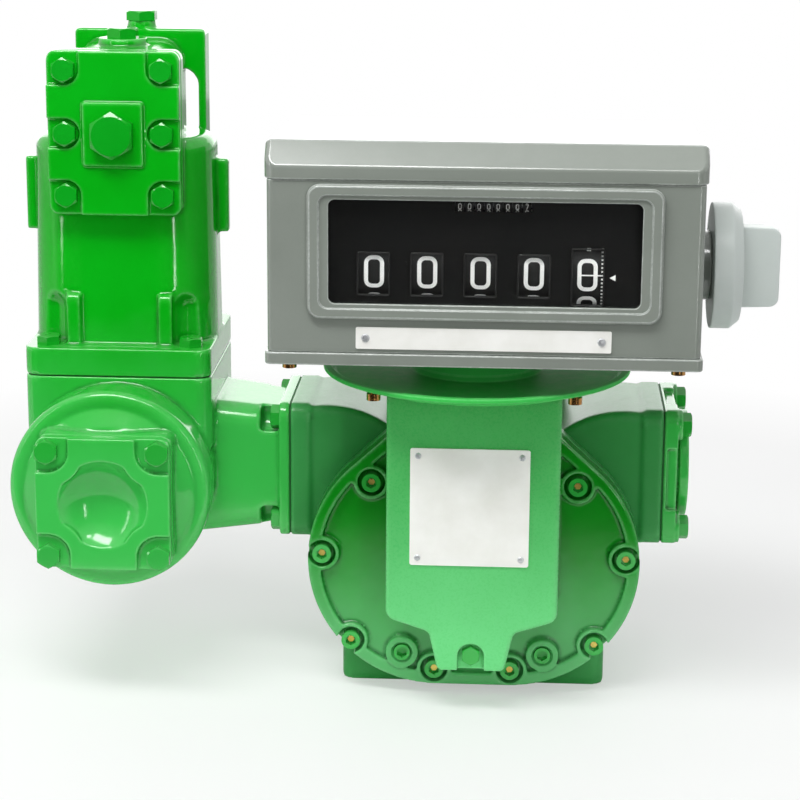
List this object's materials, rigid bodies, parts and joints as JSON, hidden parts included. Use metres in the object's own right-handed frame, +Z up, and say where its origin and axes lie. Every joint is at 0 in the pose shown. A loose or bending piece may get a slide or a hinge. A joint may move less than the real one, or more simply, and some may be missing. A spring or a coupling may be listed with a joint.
{
  "type": "positive displacement flow meter",
  "caption": "Rotary positive-displacement liquid meter with a resettable counter, reset knob, inlet strainer, air eliminator and outlet flange.",
  "frame": {"origin": "centre of the underside of the foot", "axes": "+Z up, -Y the front with the register window, +X the way the liquid flows, from strainer to outlet flange"},
  "size_m": [0.4948, 0.237, 0.4385],
  "materials": {
    "iron_green": "gloss enamel over a cast texture",
    "alloy_green": "thick gloss enamel",
    "bolt_green": "gloss enamel over steel",
    "inner_iron": "machined",
    "steel": "ground",
    "register_grey": "satin stove enamel",
    "knob_grey": "smooth moulded",
    "brass": "bright",
    "window": "clear",
    "dial_black": "matt black",
    "plate_white": "satin anodised",
    "screw_steel": "bright",
    "float_plastic": "moulded",
    "gasket_fibre": "compressed sheet"
  },
  "bodies": {
    "meter": {"meter_housing": "iron_green", "front_cover": "iron_green", "rear_cover": "iron_green", "cover_screws": "bolt_green", "drain_plugs": "bolt_green", "bearing_plates": "inner_iron", "packing_gland": "brass", "gear_case_cover": "alloy_green", "gear_case_bolt": "bolt_green", "nameplate": "plate_white", "nameplate_rivets": "screw_steel", "counter_adapter": "alloy_green", "brass_screws": "brass", "register_base": "register_grey", "register_case": "register_grey", "register_lid": "register_grey", "window_bezel": "register_grey", "window_glass": "window", "dial_plate": "dial_black", "wheel_shaft": "steel", "totalizer_shaft": "steel", "notice_strip": "plate_white", "strip_screws": "screw_steel", "strainer_housing": "alloy_green", "strainer_cover": "alloy_green", "strainer_cover_bolts": "bolt_green", "strainer_basket": "steel", "inlet_joint_bolts": "bolt_green", "air_eliminator_body": "alloy_green", "air_eliminator_bolts": "bolt_green", "valve_cover": "alloy_green", "valve_cover_bolts": "bolt_green", "valve_plug": "bolt_green", "vent_plugs": "bolt_green", "outlet_flange": "alloy_green", "outlet_flange_bolts": "bolt_green", "gaskets": "gasket_fibre"},
    "blocking_rotor": {"blocking_rotor": "inner_iron", "timing_gear_blocking": "inner_iron", "drive_bevel_gear": "steel"},
    "left_rotor": {"displacement_rotor_left": "inner_iron", "timing_gear_left": "inner_iron"},
    "right_rotor": {"displacement_rotor_right": "inner_iron", "timing_gear_right": "inner_iron"},
    "vertical_shaft": {"vertical_shaft": "steel"},
    "reset_knob": {"reset_knob": "knob_grey"},
    "air_float": {"air_float": "float_plastic"},
    "number_wheel_1": {"number_wheel_1": "dial_black"},
    "number_wheel_2": {"number_wheel_2": "dial_black"},
    "number_wheel_3": {"number_wheel_3": "dial_black"},
    "number_wheel_4": {"number_wheel_4": "dial_black"},
    "number_wheel_5": {"number_wheel_5": "dial_black"},
    "totalizer_wheel_1": {"totalizer_wheel_1": "dial_black"},
    "totalizer_wheel_2": {"totalizer_wheel_2": "dial_black"},
    "totalizer_wheel_3": {"totalizer_wheel_3": "dial_black"},
    "totalizer_wheel_4": {"totalizer_wheel_4": "dial_black"},
    "totalizer_wheel_5": {"totalizer_wheel_5": "dial_black"},
    "totalizer_wheel_6": {"totalizer_wheel_6": "dial_black"},
    "totalizer_wheel_7": {"totalizer_wheel_7": "dial_black"},
    "totalizer_wheel_8": {"totalizer_wheel_8": "dial_black"}
  },
  "joints": [
    {"name": "blocking_rotor_spin", "type": "hinge", "parent": "meter", "child": "blocking_rotor", "pos_m": [0, 0, 0.15], "axis": [0, 1, 0], "continuous": true},
    {"name": "left_rotor_spin", "type": "hinge", "parent": "meter", "child": "left_rotor", "pos_m": [-0.048, 0, 0.084], "axis": [0, 1, 0], "continuous": true},
    {"name": "right_rotor_spin", "type": "hinge", "parent": "meter", "child": "right_rotor", "pos_m": [0.048, 0, 0.084], "axis": [0, 1, 0], "continuous": true},
    {"name": "vertical_shaft_spin", "type": "hinge", "parent": "meter", "child": "vertical_shaft", "pos_m": [0, -0.09, 0.2], "axis": [0, 0, 1], "continuous": true},
    {"name": "number_wheel_1_spin", "type": "hinge", "parent": "meter", "child": "number_wheel_1", "pos_m": [-0.062, -0.1019, 0.298], "axis": [-1, 0, 0], "continuous": true},
    {"name": "number_wheel_2_spin", "type": "hinge", "parent": "meter", "child": "number_wheel_2", "pos_m": [-0.02945, -0.1019, 0.298], "axis": [-1, 0, 0], "continuous": true},
    {"name": "number_wheel_3_spin", "type": "hinge", "parent": "meter", "child": "number_wheel_3", "pos_m": [0.0031, -0.1019, 0.298], "axis": [-1, 0, 0], "continuous": true},
    {"name": "number_wheel_4_spin", "type": "hinge", "parent": "meter", "child": "number_wheel_4", "pos_m": [0.03565, -0.1019, 0.298], "axis": [-1, 0, 0], "continuous": true},
    {"name": "number_wheel_5_spin", "type": "hinge", "parent": "meter", "child": "number_wheel_5", "pos_m": [0.0682, -0.1019, 0.298], "axis": [-1, 0, 0], "continuous": true},
    {"name": "totalizer_wheel_1_spin", "type": "hinge", "parent": "meter", "child": "totalizer_wheel_1", "pos_m": [-0.00995, -0.1342, 0.3394], "axis": [-1, 0, 0], "continuous": true},
    {"name": "totalizer_wheel_2_spin", "type": "hinge", "parent": "meter", "child": "totalizer_wheel_2", "pos_m": [-0.00415, -0.1342, 0.3394], "axis": [-1, 0, 0], "continuous": true},
    {"name": "totalizer_wheel_3_spin", "type": "hinge", "parent": "meter", "child": "totalizer_wheel_3", "pos_m": [0.00165, -0.1342, 0.3394], "axis": [-1, 0, 0], "continuous": true},
    {"name": "totalizer_wheel_4_spin", "type": "hinge", "parent": "meter", "child": "totalizer_wheel_4", "pos_m": [0.00745, -0.1342, 0.3394], "axis": [-1, 0, 0], "continuous": true},
    {"name": "totalizer_wheel_5_spin", "type": "hinge", "parent": "meter", "child": "totalizer_wheel_5", "pos_m": [0.01325, -0.1342, 0.3394], "axis": [-1, 0, 0], "continuous": true},
    {"name": "totalizer_wheel_6_spin", "type": "hinge", "parent": "meter", "child": "totalizer_wheel_6", "pos_m": [0.01905, -0.1342, 0.3394], "axis": [-1, 0, 0], "continuous": true},
    {"name": "totalizer_wheel_7_spin", "type": "hinge", "parent": "meter", "child": "totalizer_wheel_7", "pos_m": [0.02485, -0.1342, 0.3394], "axis": [-1, 0, 0], "continuous": true},
    {"name": "totalizer_wheel_8_spin", "type": "hinge", "parent": "meter", "child": "totalizer_wheel_8", "pos_m": [0.03065, -0.1342, 0.3394], "axis": [-1, 0, 0], "continuous": true},
    {"name": "reset_knob_turn", "type": "hinge", "parent": "meter", "child": "reset_knob", "pos_m": [0.15, -0.075, 0.293], "axis": [-1, 0, 0], "range_deg": [0, 360]},
    {"name": "air_float_rise", "type": "slide", "parent": "meter", "child": "air_float", "axis": [0, 0, 1], "range_m": [0, 0.02]}
  ],
  "couplings": [
    {"joint": "left_rotor_spin", "follows": "blocking_rotor_spin", "ratio": -1},
    {"joint": "right_rotor_spin", "follows": "blocking_rotor_spin", "ratio": -1},
    {"joint": "vertical_shaft_spin", "follows": "blocking_rotor_spin", "ratio": 1},
    {"joint": "number_wheel_1_spin", "follows": "blocking_rotor_spin", "ratio": 0.00001},
    {"joint": "number_wheel_2_spin", "follows": "blocking_rotor_spin", "ratio": 0.0001},
    {"joint": "number_wheel_3_spin", "follows": "blocking_rotor_spin", "ratio": 0.001},
    {"joint": "number_wheel_4_spin", "follows": "blocking_rotor_spin", "ratio": 0.01},
    {"joint": "number_wheel_5_spin", "follows": "blocking_rotor_spin", "ratio": 0.1},
    {"joint": "totalizer_wheel_1_spin", "follows": "blocking_rotor_spin", "ratio": 0.00000001},
    {"joint": "totalizer_wheel_2_spin", "follows": "blocking_rotor_spin", "ratio": 0.0000001},
    {"joint": "totalizer_wheel_3_spin", "follows": "blocking_rotor_spin", "ratio": 0.000001},
    {"joint": "totalizer_wheel_4_spin", "follows": "blocking_rotor_spin", "ratio": 0.00001},
    {"joint": "totalizer_wheel_5_spin", "follows": "blocking_rotor_spin", "ratio": 0.0001},
    {"joint": "totalizer_wheel_6_spin", "follows": "blocking_rotor_spin", "ratio": 0.001},
    {"joint": "totalizer_wheel_7_spin", "follows": "blocking_rotor_spin", "ratio": 0.01},
    {"joint": "totalizer_wheel_8_spin", "follows": "blocking_rotor_spin", "ratio": 0.1}
  ]
}
